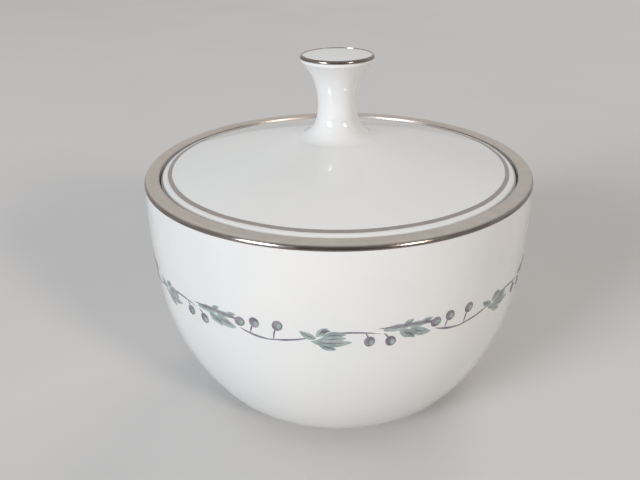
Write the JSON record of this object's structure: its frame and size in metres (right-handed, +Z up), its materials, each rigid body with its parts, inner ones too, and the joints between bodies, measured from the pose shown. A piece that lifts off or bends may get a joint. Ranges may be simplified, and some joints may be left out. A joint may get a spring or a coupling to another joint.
{
  "type": "covered sugar bowl",
  "caption": "Round-bottomed glazed china bowl on a foot ring, with a low domed lid that drops into a recess in the lip, a flared spool knob and platinum bands",
  "frame": {"origin": "centre of the foot ring, on the surface that the bowl stands on", "axes": "+Z up, along the axis of revolution; the object is round, so +X and +Y are free choices"},
  "size_m": [0.1084, 0.1084, 0.101],
  "materials": {
    "bowl_china": "clear gloss glaze on white china",
    "lid_china": "clear gloss glaze on white china",
    "platinum": "burnished platinum fired on the glaze"
  },
  "bodies": {
    "bowl_body": {"bowl": "bowl_china", "bowl_rim_band": "platinum"},
    "lid_body": {"lid": "lid_china", "lid_edge_line": "platinum", "knob": "lid_china", "knob_edge_band": "platinum"}
  },
  "joints": [
    {"name": "lid_lift", "type": "slide", "parent": "bowl_body", "child": "lid_body", "axis": [0, 0, 1], "range_m": [0, 0.05]}
  ]
}
